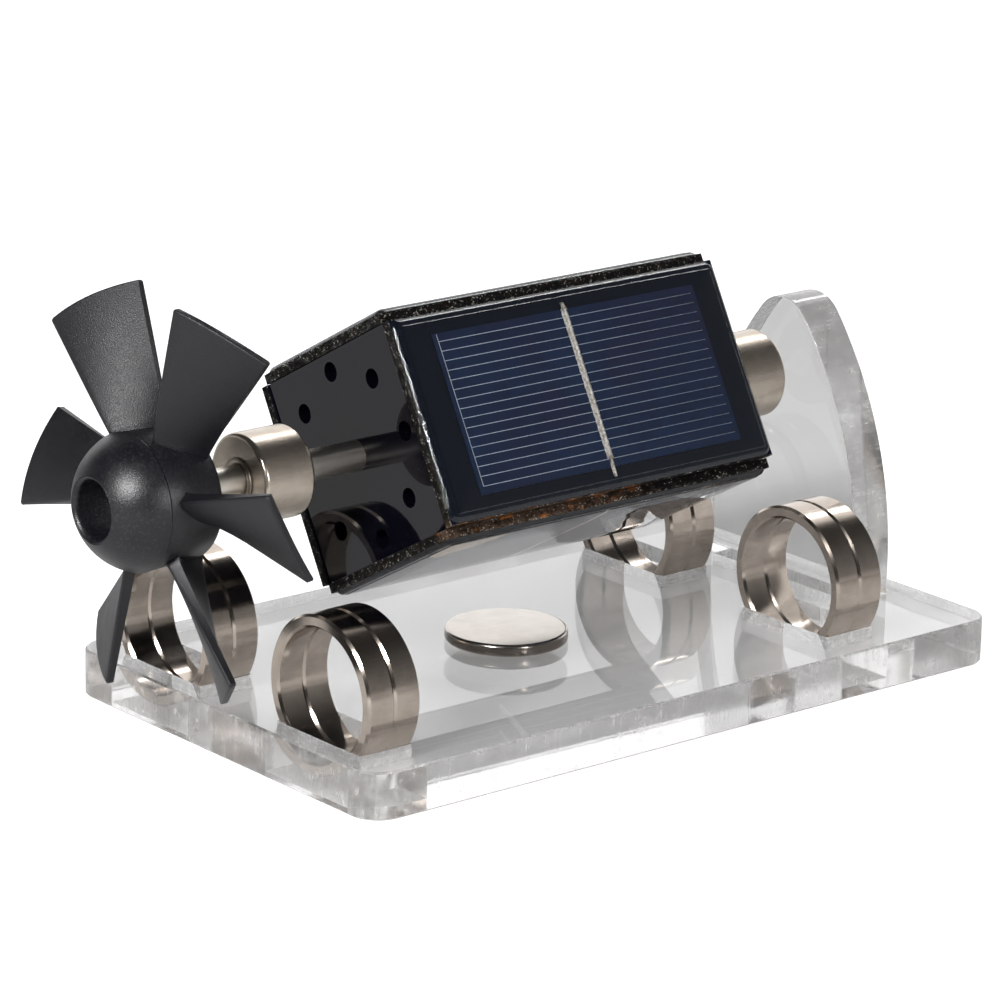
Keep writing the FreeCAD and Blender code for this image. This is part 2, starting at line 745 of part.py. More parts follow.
def check_and_write():
    """Stops at any failed object, then writes each piece to its own file."""
    doc.recompute()
    for thing in doc.Objects:
        if "Invalid" in thing.State or "Error" in thing.State:
            sys.exit(f"{thing.Label}: {thing.State}")
    os.makedirs("parts", exist_ok=True)
    for piece in pieces:
        shape = piece.Shape
        if shape.isNull() or not shape.isValid() or not shape.Solids:
            sys.exit(f"{piece.Label}: bad shape")
        shape.exportStep(f"parts/{piece.Label}.step")
        box = shape.BoundBox
        print(f"{piece.Label}: {len(shape.Solids)} solid, {shape.Volume:.1f} mm3,"
              f" {box.XLength:.1f} x {box.YLength:.1f} x {box.ZLength:.1f}")


base_plate()
end_plate()
support_rings()
field_magnet()
shaft()
pivot()
rotor_magnet("left", left_magnet)
rotor_magnet("right", right_magnet)
rotor_cap("left", boards_middle - cavity_half - dim.cap_thickness)
rotor_cap("right", boards_middle + cavity_half)
for side_number in range(1, SIDES + 1):
    board_stack(side_number)
    panel_leads(side_number)
coil_former()
coils()
fan()
check_and_write()
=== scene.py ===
import math

import bmesh
import bpy
from mathutils import Matrix, Vector


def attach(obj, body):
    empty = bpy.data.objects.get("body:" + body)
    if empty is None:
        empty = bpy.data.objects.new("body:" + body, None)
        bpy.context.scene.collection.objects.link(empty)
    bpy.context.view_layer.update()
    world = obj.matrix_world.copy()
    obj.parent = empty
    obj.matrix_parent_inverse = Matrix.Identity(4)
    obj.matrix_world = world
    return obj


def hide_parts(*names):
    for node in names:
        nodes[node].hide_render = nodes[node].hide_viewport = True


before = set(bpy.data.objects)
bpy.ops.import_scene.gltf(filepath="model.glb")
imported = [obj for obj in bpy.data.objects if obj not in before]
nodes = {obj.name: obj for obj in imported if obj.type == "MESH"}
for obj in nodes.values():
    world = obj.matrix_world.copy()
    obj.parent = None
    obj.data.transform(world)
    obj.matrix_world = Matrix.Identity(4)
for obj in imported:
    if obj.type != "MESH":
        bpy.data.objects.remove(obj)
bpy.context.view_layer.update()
mm = 0.001
axisHeight = 44.3  # shaft above the table, in mm, as every length below
restTurn = 29.5  # degrees that the rotor's top leans back
boardMiddle = -5.8  # the boards' middle along the shaft
print("frame:", len(nodes), "parts")


# Shader maths: a signal is one output socket, and an expression on signals adds Math nodes

class Signal:
    def __init__(self, paint, socket):
        self.paint = paint
        self.socket = socket

    def maths(self, operation, *values):
        inputs = dict(enumerate(values))
        return self.paint.add("ShaderNodeMath", {"operation": operation}, inputs)

    def __add__(self, other):
        return self.maths("ADD", self, other)

    def __radd__(self, other):
        return self.maths("ADD", other, self)

    def __sub__(self, other):
        return self.maths("SUBTRACT", self, other)

    def __rsub__(self, other):
        return self.maths("SUBTRACT", other, self)

    def __mul__(self, other):
        return self.maths("MULTIPLY", self, other)

    def __rmul__(self, other):
        return self.maths("MULTIPLY", other, self)

    def __truediv__(self, other):
        return self.maths("DIVIDE", self, other)

    def __rtruediv__(self, other):
        return self.maths("DIVIDE", other, self)

    def __abs__(self):
        return self.maths("ABSOLUTE", self)

    def larger(self, other):
        return self.maths("MAXIMUM", self, other)

    def smaller(self, other):
        return self.maths("MINIMUM", self, other)

    def rise(self, low, high):  # 0 below low, 1 above high, smooth between
        settings = {"interpolation_type": "SMOOTHSTEP"}
        inputs = {"Value": self, "From Min": low, "From Max": high}
        return self.paint.add("ShaderNodeMapRange", settings, inputs)

    def between(self, low, high):  # stretches 0..1 to low..high
        return self * (high - low) + low


class Paint:  # adds nodes to a new material, or to a tree that is there
    def __init__(self, name=None, tree=None):
        if tree is None:
            self.material = bpy.data.materials.new(name)
            self.material.use_nodes = True
            tree = self.material.node_tree
        self.tree = tree
        self.shader = tree.nodes.get("Principled BSDF")

    def add(self, kind, settings=None, inputs=None, out=0):
        node = self.tree.nodes.new(kind)
        for key, value in (settings or {}).items():
            if key == "stops":
                self.setStops(node.color_ramp, value)
            else:
                setattr(node, key, value)
        for key, value in (inputs or {}).items():
            self.feed(node.inputs[key], value)
        return Signal(self, node.outputs[out])

    def setStops(self, ramp, stops):
        while len(ramp.elements) < len(stops):
            ramp.elements.new(0.5)
        for element, (place, colour) in zip(ramp.elements, stops):
            element.position = place
            element.color = (*colour, 1)

    def feed(self, socket, value):
        if isinstance(value, Signal):
            self.tree.links.new(value.socket, socket)
        elif isinstance(value, tuple) and len(value) == 3 and socket.type == "RGBA":
            socket.default_value = (*value, 1)
        else:
            socket.default_value = value

    def set(self, **inputs):
        for name, value in inputs.items():
            self.feed(self.shader.inputs[name.replace("_", " ")], value)
        return self

    def place(self, turn=0, centre=(0, 0, 0)):  # object coordinates in mm, turned back about X
        spot = self.add("ShaderNodeTexCoord", out="Object")
        settings = {"vector_type": "TEXTURE"}
        back = {
            "Vector": spot, "Location": tuple(part * mm for part in centre),
            "Rotation": (math.radians(turn), 0, 0), "Scale": (mm, mm, mm),
        }
        return self.add("ShaderNodeMapping", settings, back)

    def stretch(self, vector, scale):
        return self.add("ShaderNodeMapping", None, {"Vector": vector, "Scale": scale})

    def split(self, vector):
        node = self.add("ShaderNodeSeparateXYZ", None, {"Vector": vector}).socket.node
        return [Signal(self, output) for output in node.outputs]

    def noise(self, vector, scale=1.0, detail=2.0, rough=0.5):
        inputs = {"Vector": vector, "Scale": scale, "Detail": detail, "Roughness": rough}
        return self.add("ShaderNodeTexNoise", None, inputs, "Fac")

    def cells(self, vector, scale, out="Distance"):
        return self.add("ShaderNodeTexVoronoi", None, {"Vector": vector, "Scale": scale}, out)

    def blend(self, share, first, second):
        return self.add("ShaderNodeMix", {"data_type": "RGBA"}, {0: share, 6: first, 7: second}, 2)

    def ramp(self, share, stops):
        return self.add("ShaderNodeValToRGB", {"stops": stops}, {"Fac": share})

    def bump(self, height, depth, strength=1.0, under=None):
        inputs = {"Height": height, "Distance": depth * mm, "Strength": strength}
        if under is not None:
            inputs["Normal"] = under
        return self.add("ShaderNodeBump", None, inputs)


# Meshes

def newPiece(name, verts, faces, smoothAngle=40, material=None):
    mesh = bpy.data.meshes.new(name)
    mesh.from_pydata([tuple(part * mm for part in vert) for vert in verts], [], faces)
    mesh.validate()
    return keepPiece(name, mesh, smoothAngle, material)


def keepPiece(name, mesh, smoothAngle=40, material=None):  # welds, turns faces outwards and smooths
    shell = bmesh.new()
    shell.from_mesh(mesh)
    bmesh.ops.remove_doubles(shell, verts=shell.verts, dist=0.002 * mm)
    bmesh.ops.recalc_face_normals(shell, faces=shell.faces)
    shell.to_mesh(mesh)
    shell.free()
    mesh.shade_smooth()
    mesh.set_sharp_from_angle(angle=math.radians(smoothAngle))
    thing = bpy.data.objects.new(name, mesh)
    bpy.context.scene.collection.objects.link(thing)
    if material:
        mesh.materials.clear()
        mesh.materials.append(material)
    return thing


def tubeFaces(rows, count, closed=False):  # faces between rows of points, each row a closed loop
    faces = []
    for row in range(rows if closed else rows - 1):
        here, after = row * count, (row + 1) % rows * count
        for step in range(count):
            nextStep = (step + 1) % count
            faces.append((here + step, here + nextStep, after + nextStep, after + step))
    return faces


def closedLoops(loops):  # a tube through loops of equal count, ends filled
    count = len(loops[0])
    verts = [vert for loop in loops for vert in loop]
    faces = tubeFaces(len(loops), count)
    faces.append(tuple(reversed(range(count))))
    faces.append(tuple(range((len(loops) - 1) * count, len(loops) * count)))
    return verts, faces


def lathe(profile, steps):  # a closed outline of (x, radius) points turned about X
    verts = []
    for turn in range(steps):
        angle = turn / steps * 2 * math.pi
        for along, radius in profile:
            verts.append((along, radius * math.sin(angle), radius * math.cos(angle)))
    return verts, tubeFaces(steps, len(profile), closed=True)


def aboutShaft(turn=0, along=0):  # from a piece drawn on the shaft's axis to its place
    return (Matrix.Translation((along * mm, 0, axisHeight * mm))
            @ Matrix.Rotation(math.radians(turn), 4, "X"))


# Geometry Nodes

class Growth:
    def __init__(self, name):
        self.tree = bpy.data.node_groups.new(name, "GeometryNodeTree")
        self.tree.interface.new_socket("Geometry", in_out="INPUT", socket_type="NodeSocketGeometry")
        self.tree.interface.new_socket("Geometry", in_out="OUTPUT", socket_type="NodeSocketGeometry")
        self.entry = self.tree.nodes.new("NodeGroupInput")
        self.exit = self.tree.nodes.new("NodeGroupOutput")
        self.named = {}

    def size(self, name, kind, start):
        item = self.tree.interface.new_socket(name, in_out="INPUT", socket_type=kind)
        item.default_value = start
        self.named[name] = item.identifier
        return next(socket for socket in self.entry.outputs if socket.identifier == item.identifier)

    def add(self, kind, settings=None, inputs=None, out=0):
        node = self.tree.nodes.new(kind)
        for key, value in (settings or {}).items():
            setattr(node, key, value)
        for key, value in (inputs or {}).items():
            if isinstance(value, bpy.types.NodeSocket):
                self.tree.links.new(value, node.inputs[key])
            else:
                node.inputs[key].default_value = value
        return node.outputs[out]

    def finish(self, geometry, material):
        real = self.add("GeometryNodeRealizeInstances", None, {"Geometry": geometry})
        painted = self.add("GeometryNodeSetMaterial", None, {"Geometry": real, "Material": material})
        self.tree.links.new(painted, self.exit.inputs[0])


def aroundTree(material):  # copies a piece in rows, then round the shaft's axis
    grow = Growth("repeatAroundShaft")
    rows = grow.size("rows", "NodeSocketInt", 1)
    pitch = grow.size("pitch", "NodeSocketVector", (0, 0, 0))
    sides = grow.size("sides", "NodeSocketInt", 4)
    step = grow.size("step", "NodeSocketFloat", math.pi / 2)
    line = grow.add("GeometryNodeMeshLine", {"mode": "OFFSET"}, {"Count": rows, "Offset": pitch})
    inputs = {"Points": line, "Instance": grow.entry.outputs[0]}
    row = grow.add("GeometryNodeInstanceOnPoints", None, inputs)
    stack = grow.add("GeometryNodeMeshLine", {"mode": "OFFSET"}, {"Count": sides, "Offset": (0, 0, 0)})
    number = grow.add("GeometryNodeInputIndex")
    angle = grow.add("ShaderNodeMath", {"operation": "MULTIPLY"}, {0: number, 1: step})
    turn = grow.add("ShaderNodeCombineXYZ", None, {"X": angle})
    inputs = {"Points": stack, "Instance": row, "Rotation": turn}
    grow.finish(grow.add("GeometryNodeInstanceOnPoints", None, inputs), material)
    return grow


def grown(name, base, grow, sizes, place, material, smoothAngle=40):
    modifier = base.modifiers.new("repeat", "NODES")
    modifier.node_group = grow.tree
    for title, value in sizes.items():
        modifier[grow.named[title]] = value
    base.update_tag()
    graph = bpy.context.evaluated_depsgraph_get()
    mesh = bpy.data.meshes.new_from_object(base.evaluated_get(graph))
    mesh.transform(place)
    base.modifiers.clear()
    bpy.data.objects.remove(base)
    return keepPiece(name, mesh, smoothAngle, material)


# Finishes

def acrylicFinish(name, flat, under):
    # flat is the axis that the faces look along, and under is how much the lower bevels scatter
    paint = Paint(name)
    spot = paint.place()
    normal = paint.split(paint.add("ShaderNodeTexCoord", out="Normal"))
    flatness = abs(normal[flat])
    edge = 1 - flatness.rise(0.5, 0.95)
    along = [2.4, 2.4, 2.4]
    along[flat] = 0.13  # saw marks run straight through the sheet
    marks = paint.noise(paint.stretch(spot, tuple(along)), 1.0, 3.0, 0.6)
    haze = paint.noise(spot, 0.06, 3.0, 0.6)
    cloud = paint.noise(spot, 0.45, 4.0, 0.65)
    clear = paint.set(
        Base_Color=(0.985, 0.985, 0.985), IOR=1.49, Transmission_Weight=1.0,
        Roughness=haze.rise(0.4, 0.8) * 0.012 + edge * 0.05,
        Normal=paint.bump(marks * edge, 0.05, 0.4),
    ).shader.outputs[0]
    sawn = paint.add("ShaderNodeBsdfPrincipled", None, {
        "Base Color": paint.blend(cloud, (0.58, 0.55, 0.53), (0.84, 0.83, 0.82)), "Roughness": 0.5,
    })
    bevel = flatness.rise(0.2, 0.6) * (1 - flatness.rise(0.8, 0.98))
    broken = bevel * (0 - normal[flat]).rise(0.0, 0.2).between(0.22, under)
    share = edge * (0.10 + (cloud * 0.6 + marks * 0.4).rise(0.46, 0.66) * 0.26) + broken
    both = paint.add("ShaderNodeMixShader", None, {0: share, 1: Signal(paint, clear), 2: sawn})
    paint.feed(paint.tree.nodes["Material Output"].inputs["Surface"], both)
    return paint.material


def nickelFinish(name, light, dark, rough, grain, metal=1.0, sideShade=0):
    paint = Paint(name)
    spot = paint.place()
    streaks = paint.noise(paint.stretch(spot, (0.25, 7, 7)), 1.0, 3.0, 0.65)
    speck = paint.noise(spot, 5.0, 2.0, 0.6)
    cloud = paint.noise(spot, 0.35, 3.0, 0.6)
    share = (cloud * 0.6 + streaks * 0.4).rise(0.3, 0.7)
    height = streaks * 0.6 + speck * 0.4
    colour = paint.blend(share, dark, light)
    if sideShade:  # painted shade: the upright side is darkened towards brown, standing in for the dark reflection seen there
        upright = paint.split(paint.add("ShaderNodeTexCoord", out="Normal"))[2]
        side = 1 - abs(upright).rise(0.1, 0.75)
        colour = paint.blend(side * sideShade, colour, (0.05, 0.035, 0.025))
    paint.set(
        Base_Color=colour, Metallic=metal,
        Roughness=streaks.between(rough - 0.06, rough + 0.08),
        Normal=paint.bump(height, grain, 0.5),
    )
    return paint.material


def steelFinish():
    paint = Paint("groundSteel")
    spot = paint.place()
    lines = paint.noise(paint.stretch(spot, (3.0, 0.2, 0.2)), 1.0, 2.0, 0.5)
    tarnish = paint.noise(spot, 0.5, 3.0, 0.6)
    paint.set(
        Base_Color=paint.blend(tarnish, (0.72, 0.67, 0.60), (0.84, 0.80, 0.74)), Metallic=1.0,
        Roughness=lines.between(0.31, 0.41), Normal=paint.bump(lines, 0.008, 1.0),
    )
    return paint.material


def fanFinish():
    paint = Paint("blackMouldedPlastic")
    spot = paint.place()
    x, y, z = paint.split(spot)
    grain = paint.noise(spot, 6.5, 1.0, 0.5)
    cloud = paint.noise(spot, 0.3, 4.0, 0.65)
    onBlade = (y * y + (z - axisHeight) * (z - axisHeight)).rise(100, 170)  # squared radius
    bump = paint.bump(grain * onBlade.between(0.5, 1), 0.065, 1.0)
    black = paint.blend(cloud, (0.0035, 0.0035, 0.0055), (0.007, 0.0065, 0.009))
    dust = paint.noise(spot, 2.2, 3.0, 0.7).rise(0.50, 0.72) * (1 - onBlade)
    paint.set(
        Base_Color=paint.blend(dust * 0.5, black, (0.040, 0.038, 0.043)), IOR=1.5,
        Roughness=onBlade.between(-0.03, 0.03) + cloud.between(0.28, 0.48), Normal=bump,
    )
    return paint.material


def glossSheetFinish():
    paint = Paint("blackGlossSheet")
    spot = paint.place()
    smear = paint.noise(spot, 0.15, 4.0, 0.6)
    dust = paint.cells(spot, 0.9).rise(0.05, 0.08)
    paint.set(
        Base_Color=paint.blend(dust, (0.02, 0.02, 0.02), (0.002, 0.002, 0.0045)),
        Roughness=smear.between(0.015, 0.05) + (1 - dust) * 0.3, IOR=1.4,
        Normal=paint.bump(smear, 0.02, 0.2),
    )
    return paint.material


def boardFinish():
    paint = Paint("blackBoard")
    spot = paint.place(-restTurn, (0, 0, axisHeight))
    x, y, z = paint.split(spot)
    across = abs(y).smaller(abs(z))  # how far across its board a point lies
    rim = across.rise(16.55, 16.65).larger(abs(x - boardMiddle).rise(33.35, 33.45))
    coarse = paint.noise(spot, 1.1, 5.0, 0.7)
    patch = paint.noise(paint.stretch(spot, (0.22, 0.5, 0.5)), 1.0, 4.0, 0.65)
    low = (0 - z).rise(15.0, 16.6) * (0 - y).rise(13.0, 16.0) * (7 - x).rise(0, 20)  # the core shows here
    # painted glints: bright specks put into the edge colour, denser along the edge next to the resin,
    # standing in for sparkling highlights
    paintedGlint = paint.split(paint.cells(spot, 6.0, "Color"))[0]
    nearFace = abs(y).larger(abs(z)).rise(17.9, 18.3)  # the edge next to the resin
    paintedGlint = paintedGlint.rise(0.94, 0.97).larger(nearFace * paintedGlint.rise(0.80, 0.88)) * coarse.rise(0.40, 0.58) * rim
    sawn = paint.ramp(coarse, [
        (0.34, (0.002, 0.002, 0.002)), (0.58, (0.006, 0.0055, 0.005)), (0.78, (0.024, 0.019, 0.016)),
    ])
    rustAndGlints = paint.blend(low * coarse.rise(0.3, 0.6) * 0.7, sawn, (0.085, 0.052, 0.034))
    rustAndGlints = paint.blend(patch.rise(0.54, 0.66) * low.between(0.02, 1), rustAndGlints, (0.24, 0.085, 0.022))
    # the painted glints are blended into the edge colour here, over the rust
    rustAndGlints = paint.blend(paintedGlint * 0.8, rustAndGlints, (0.50, 0.47, 0.42))
    paint.set(
        Base_Color=paint.blend(rim, (0.0045, 0.0075, 0.015), rustAndGlints), IOR=1.12,
        Roughness=rim.between(0.3, 0.55), Normal=paint.bump(coarse * rim, 0.5, 0.9),
        Coat_Weight=rim * coarse.rise(0.45, 0.7) * 0.8, Coat_Roughness=0.25, Coat_IOR=1.5,
    )
    return paint.material


def cellFinish():
    paint = Paint("blueSilicon")
    spot = paint.place(-restTurn, (0, 0, axisHeight))
    patches = paint.cells(paint.stretch(spot, (0.22, 0.3, 0.3)), 1.0, "Color")
    tone = paint.split(patches)[0]
    fine = paint.noise(spot, 1.6, 3.0, 0.6)
    broad = paint.noise(spot, 0.05, 2.0, 0.5)
    blue = paint.blend(tone * 0.4 + fine * 0.6, (0.002, 0.011, 0.042), (0.005, 0.022, 0.070))
    tinted = paint.blend(broad.rise(0.42, 0.62) * 0.55, blue, (0.009, 0.010, 0.040))
    paint.set(Base_Color=tinted, Roughness=fine.between(0.25, 0.45), IOR=1.25)
    return paint.material


def silverFinish(name, light, dark, rough):
    paint = Paint(name)
    spot = paint.place()
    lumps = paint.noise(spot, 2.4, 4.0, 0.65)
    fine = paint.noise(spot, 9.0, 2.0, 0.6)
    paint.set(
        Base_Color=paint.blend(lumps.rise(0.35, 0.65), dark, light), Metallic=0.85,
        Roughness=fine.between(rough - 0.1, rough + 0.1), Normal=paint.bump(lumps + fine * 0.3, 0.05, 0.5),
    )
    return paint.material


def resinFinish():
    paint = Paint("clearResin")
    spot = paint.place()
    ripple = paint.bump(paint.noise(spot, 0.12, 3.0, 0.5), 0.08, 0.3)
    atEnd = abs(paint.split(spot)[0] - boardMiddle).rise(32.5, 33.0)  # rougher where the board was cut off
    pits = paint.noise(spot, 3.4, 1.0, 0.5)
    paint.set(
        Base_Color=(0.90, 0.89, 0.87), IOR=1.5, Transmission_Weight=1.0,
        Roughness=atEnd.between(0.01, 0.08), Normal=paint.bump(pits * atEnd, 0.06, 1.0, ripple),
    )
    return paint.material


def plainFinish(name, light, dark, rough, scale):
    paint = Paint(name)
    grain = paint.noise(paint.place(), scale, 3.0, 0.6)
    paint.set(
        Base_Color=paint.blend(grain, dark, light), Roughness=grain.between(rough - 0.1, rough + 0.1),
        Normal=paint.bump(grain, 0.05, 0.3),
    )
    return paint.material


def copperFinish():
    paint = Paint("copperWinding")
    x, y, z = paint.split(paint.place(-restTurn, (0, 0, axisHeight)))
    slant = (x + y * 0.7 + z) * 9
    turns = slant.maths("SINE", slant)
    paint.set(
        Base_Color=paint.blend(turns.between(0.5, 1.0) * 0.5, (0.22, 0.07, 0.02), (0.5, 0.2, 0.07)),
        Metallic=0.8, Roughness=turns.between(0.3, 0.4), Normal=paint.bump(turns, 0.08, 0.6),
    )
    return paint.material


baseAcrylic = acrylicFinish("clearBaseSheet", 2, 0.9)
plateAcrylic = acrylicFinish("clearEndSheet", 0, 0.22)
ringNickel = nickelFinish("ringNickel", (0.555, 0.485, 0.425), (0.45, 0.385, 0.33), 0.14, 0.010)
# the disc's upright side gets painted shade through sideShade
discNickel = nickelFinish("discNickel", (0.55, 0.51, 0.47), (0.48, 0.44, 0.40), 0.20, 0.006, 1.0, 0.75)
rotorNickel = nickelFinish("rotorNickel", (0.61, 0.54, 0.46), (0.49, 0.42, 0.35), 0.22, 0.042, 0.88)
steel = steelFinish()
collarMetal = nickelFinish("collarMetal", (0.42, 0.38, 0.33), (0.26, 0.22, 0.18), 0.35, 0.02)
fanPlastic = fanFinish()
glossSheet = glossSheetFinish()
boardBlack = boardFinish()
silicon = cellFinish()
fingerSilver = silverFinish("printedSilver", (0.62, 0.72, 0.82), (0.44, 0.53, 0.62), 0.4)
ribbonTin = silverFinish("tinnedRibbon", (0.88, 0.87, 0.84), (0.46, 0.42, 0.36), 0.34)
resin = resinFinish()
whitePlastic = plainFinish("whitePlastic", (0.70, 0.69, 0.65), (0.60, 0.59, 0.55), 0.5, 2.0)
leadPlastic = plainFinish("leadInsulation", (0.38, 0.03, 0.02), (0.25, 0.02, 0.015), 0.5, 3.0)
copper = copperFinish()
finishes = [  # how a carried part's name starts
    ("base_plate", baseAcrylic), ("end_plate", plateAcrylic), ("ring_", ringNickel),
    ("field_magnet", discNickel), ("rotor_magnet", rotorNickel), ("magnet_bush", whitePlastic),
    ("coil_former", whitePlastic), ("rotor_shaft", steel), ("pivot_point", steel),
    ("rotor_end_plate", glossSheet), ("solar_board", boardBlack), ("solar_cell", silicon),
    ("cell_ribbon", ribbonTin), ("resin_cover", resin), ("coil_", copper),
    ("panel_leads", leadPlastic), ("fan", fanPlastic),
]
for name, node in nodes.items():
    for start, material in finishes:
        if name.startswith(start):
            node.material_slots[0].material = material
            break
print("finishes on the carried parts")


# The fan

fanSizes = {
    "front": -89.7, "turn": -2.7, "length": 17.3, "bore": 2.53, "soft": 0.3,
    "sphere": 11.35, "rim": 5.35, "mouth": 4.55, "mouthDepth": 7.0, "mouthBevel": 0.6,
    "lip": [(0.4, 0.12), (0.04, 0.5), (0.0, 0.62)],  # along the axis, and out from the mouth
    "seam": 7.0, "groove": 0.2, "grooveWidth": 0.4, "barrel": 10.85, "back": 10.4, "backEdge": 0.8,
    "blades": 6, "radius": 33.05, "root": 9.0, "depth": 7.8, "span": 26.0, "bladeBack": 4.15, "camber": -0.7,
    "rootThick": 2.0, "tipThick": 1.2, "flare": 0.5, "flareReach": 0.8, "corner": 0.5, "edge": 0.32,
}


def hubProfile(s):  # (x, radius) from the mouth's lip over the ball and barrel, and back through the bore
    ball, seam, soft = s["sphere"], s["seam"], s["soft"]
    centre = math.sqrt(ball ** 2 - s["rim"] ** 2)
    seamRadius = math.sqrt(ball ** 2 - (centre - seam) ** 2)
    first = math.atan2(s["rim"], -centre)
    last = math.atan2(seamRadius, seam - centre)
    steps = 24
    points = [(along, s["mouth"] + out) for along, out in s["lip"]] + [(0.08, s["rim"] - 0.06)]
    for step in range(steps + 1):
        angle = first + (last - first) * step / steps
        points.append((centre + ball * math.cos(angle), ball * math.sin(angle)))
    seamEnd, length = seam + s["grooveWidth"], s["length"]
    points += [
        (seam + 0.12, seamRadius - 0.1), (seam + 0.18, seamRadius - s["groove"]),
        (seamEnd - 0.1, seamRadius - s["groove"]), (seamEnd, s["barrel"] - 0.1),
        (seamEnd + 0.15, s["barrel"]), (length - s["backEdge"], s["back"]), (length - 0.25, s["back"] - soft),
        (length, s["back"] - s["backEdge"]), (length, s["bore"] + soft), (length - soft, s["bore"]),
        (s["mouthDepth"], s["bore"]), (s["mouthDepth"], s["mouth"] - soft),
        (s["mouthDepth"] - soft, s["mouth"]), (s["mouthBevel"] + soft, s["mouth"]),
    ]
    return points


def bladeOutline(chord, thick, edge):  # a flat bar's section with round edges
    steps, bends = 12, 4
    flat = chord / 2 - edge
    outline = []
    for side in (1, -1):
        for step in range(steps + 1):
            outline.append((side * (2 * step / steps - 1) * flat, side * thick / 2))
        for bend in range(1, bends):
            angle = bend * math.pi / bends
            outline.append((side * (flat + edge * math.sin(angle)),
                            side * (thick / 2 - edge + edge * math.cos(angle))))
    return outline


def bladeLoop(s, radius, cut, thick):  # a blade's section at one radius, shorter by a cut at either end
    around = radius * math.radians(s["span"])
    chord = math.hypot(s["depth"], around)
    lean = math.atan2(around, s["depth"])
    middle = s["length"] - s["bladeBack"]
    loop = []
    for along, out in bladeOutline(chord - 2 * cut, thick, min(s["edge"], thick / 2 * 0.98)):
        bulge = s["camber"] * (1 - (2 * along / chord) ** 2)
        x = middle + along * math.cos(lean) + (out + bulge) * math.sin(lean)
        y = -along * math.sin(lean) + (out + bulge) * math.cos(lean)
        loop.append((x, y, math.sqrt(max(radius * radius - y * y, 0.01))))
    return loop


def roundedOff(radius, full, corner):  # what a round corner takes off a side at this radius
    into = max(radius - (full - corner), 0)
    return corner - math.sqrt(max(corner ** 2 - into ** 2, 0))


def bladeMesh(s):
    rows, bends = 34, 8
    crowd = 1.35  # draws the rows towards the root
    cornerStart = s["radius"] - s["corner"]
    radii = [s["root"] + (cornerStart - s["root"]) * (row / rows) ** crowd for row in range(rows + 1)]
    radii += [cornerStart + s["corner"] * math.sin(bend / bends * math.pi / 2) for bend in range(1, bends)]
    radii.append(s["radius"])
    loops = []
    for radius in radii:
        share = (radius - s["root"]) / (s["radius"] - s["root"])
        thick = s["rootThick"] + (s["tipThick"] - s["rootThick"]) * share
        thick += s["flare"] * math.exp(-max(radius - s["barrel"], 0) / s["flareReach"])
        thick -= 2 * roundedOff(radius, s["radius"], s["edge"])
        loops.append(bladeLoop(s, radius, roundedOff(radius, s["radius"], s["corner"]), thick))
    return closedLoops(loops)


def makeFan():
    s = fanSizes
    verts, faces = bladeMesh(s)
    blade = newPiece("blade", verts, faces)
    sizes = {"rows": 1, "sides": s["blades"], "step": 2 * math.pi / s["blades"]}
    place = aboutShaft(-restTurn + s["turn"], s["front"])
    blades = grown("blades", blade, aroundTree(fanPlastic), sizes, place, fanPlastic)
    verts, faces = lathe(hubProfile(s), 128)
    hub = newPiece("hub", verts, faces, 50, fanPlastic)
    hub.data.transform(place)
    with bpy.context.temp_override(active_object=hub, selected_editable_objects=[hub, blades]):
        bpy.ops.object.join()
    hub.name = "fan_moulding"
    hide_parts("fan")
    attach(hub, "rotor")
    print("fan:", len(hub.data.polygons), "faces")


makeFan()


# The clear end plate and the disc, each a hair off what it stands on

plateSizes = {
    "low": 51.7, "high": 59.5, "half": 19.8, "foot": 15.0, "seat": 7.8, "spring": 13.5, "apex": 59.7,
    "tip": 6.8, "gap": 0.02, "edge": 0.2,
}


def archOutline(s):  # half of the arch, from the foot up to the tip
    rise = s["apex"] - s["spring"]  # apex is where the side curves would meet
    radius = (rise ** 2 + s["half"] ** 2) / (2 * s["half"])
    centre = s["half"] - radius
    tipHeight = math.sqrt((radius - s["tip"]) ** 2 - centre ** 2)
    turn = math.atan2(tipHeight, -centre)
    points = [(s["foot"], s["gap"]), (s["foot"], s["seat"] + s["gap"]), (s["half"], s["seat"] + s["gap"])]
    sideSteps, tipSteps = 48, 18
    for step in range(sideSteps + 1):
        angle = turn * step / sideSteps
        points.append((centre + radius * math.cos(angle), s["spring"] + radius * math.sin(angle)))
    for step in range(1, tipSteps + 1):
        angle = turn + (math.pi / 2 - turn) * step / tipSteps
        points.append((s["tip"] * math.cos(angle), s["spring"] + tipHeight + s["tip"] * math.sin(angle)))
    return points


def makeEndPlate():
    s = plateSizes
    half = archOutline(s)
    outline = half + [(-y, z) for y, z in reversed(half[:-1])]
    verts, faces = closedLoops([[(x, y, z) for y, z in outline] for x in (s["low"], s["high"])])
    plate = newPiece("end_plate_sheet", verts, faces, 30, plateAcrylic)
    bevel = plate.modifiers.new("edges", "BEVEL")
    bevel.width = s["edge"] * mm
    bevel.segments = 2
    bevel.limit_method = "ANGLE"
    bevel.angle_limit = math.radians(40)
    bevel.harden_normals = True
    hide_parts("end_plate")
    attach(plate, "stand")


makeEndPlate()
discSizes = {"middle": -7.4, "radius": 10.1, "core": 0.01, "low": 7.82, "high": 9.9, "edge": 0.6}


def makeDisc():
    s = discSizes
    edge, bends = s["edge"], 6
    profile = [(s["low"], s["core"])]
    for centre, first in ((s["low"] + edge, -1), (s["high"] - edge, 0)):
        for bend in range(bends + 1):
            angle = (bend / bends + first) * math.pi / 2
            profile.append((centre + edge * math.sin(angle), s["radius"] - edge + edge * math.cos(angle)))
    profile.append((s["high"], s["core"]))
    verts, faces = lathe(profile, 128)
    verts = [(y + s["middle"], z, x) for x, y, z in verts]
    disc = newPiece("field_disc", verts, faces, 40, discNickel)
    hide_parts("field_magnet")
    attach(disc, "stand")


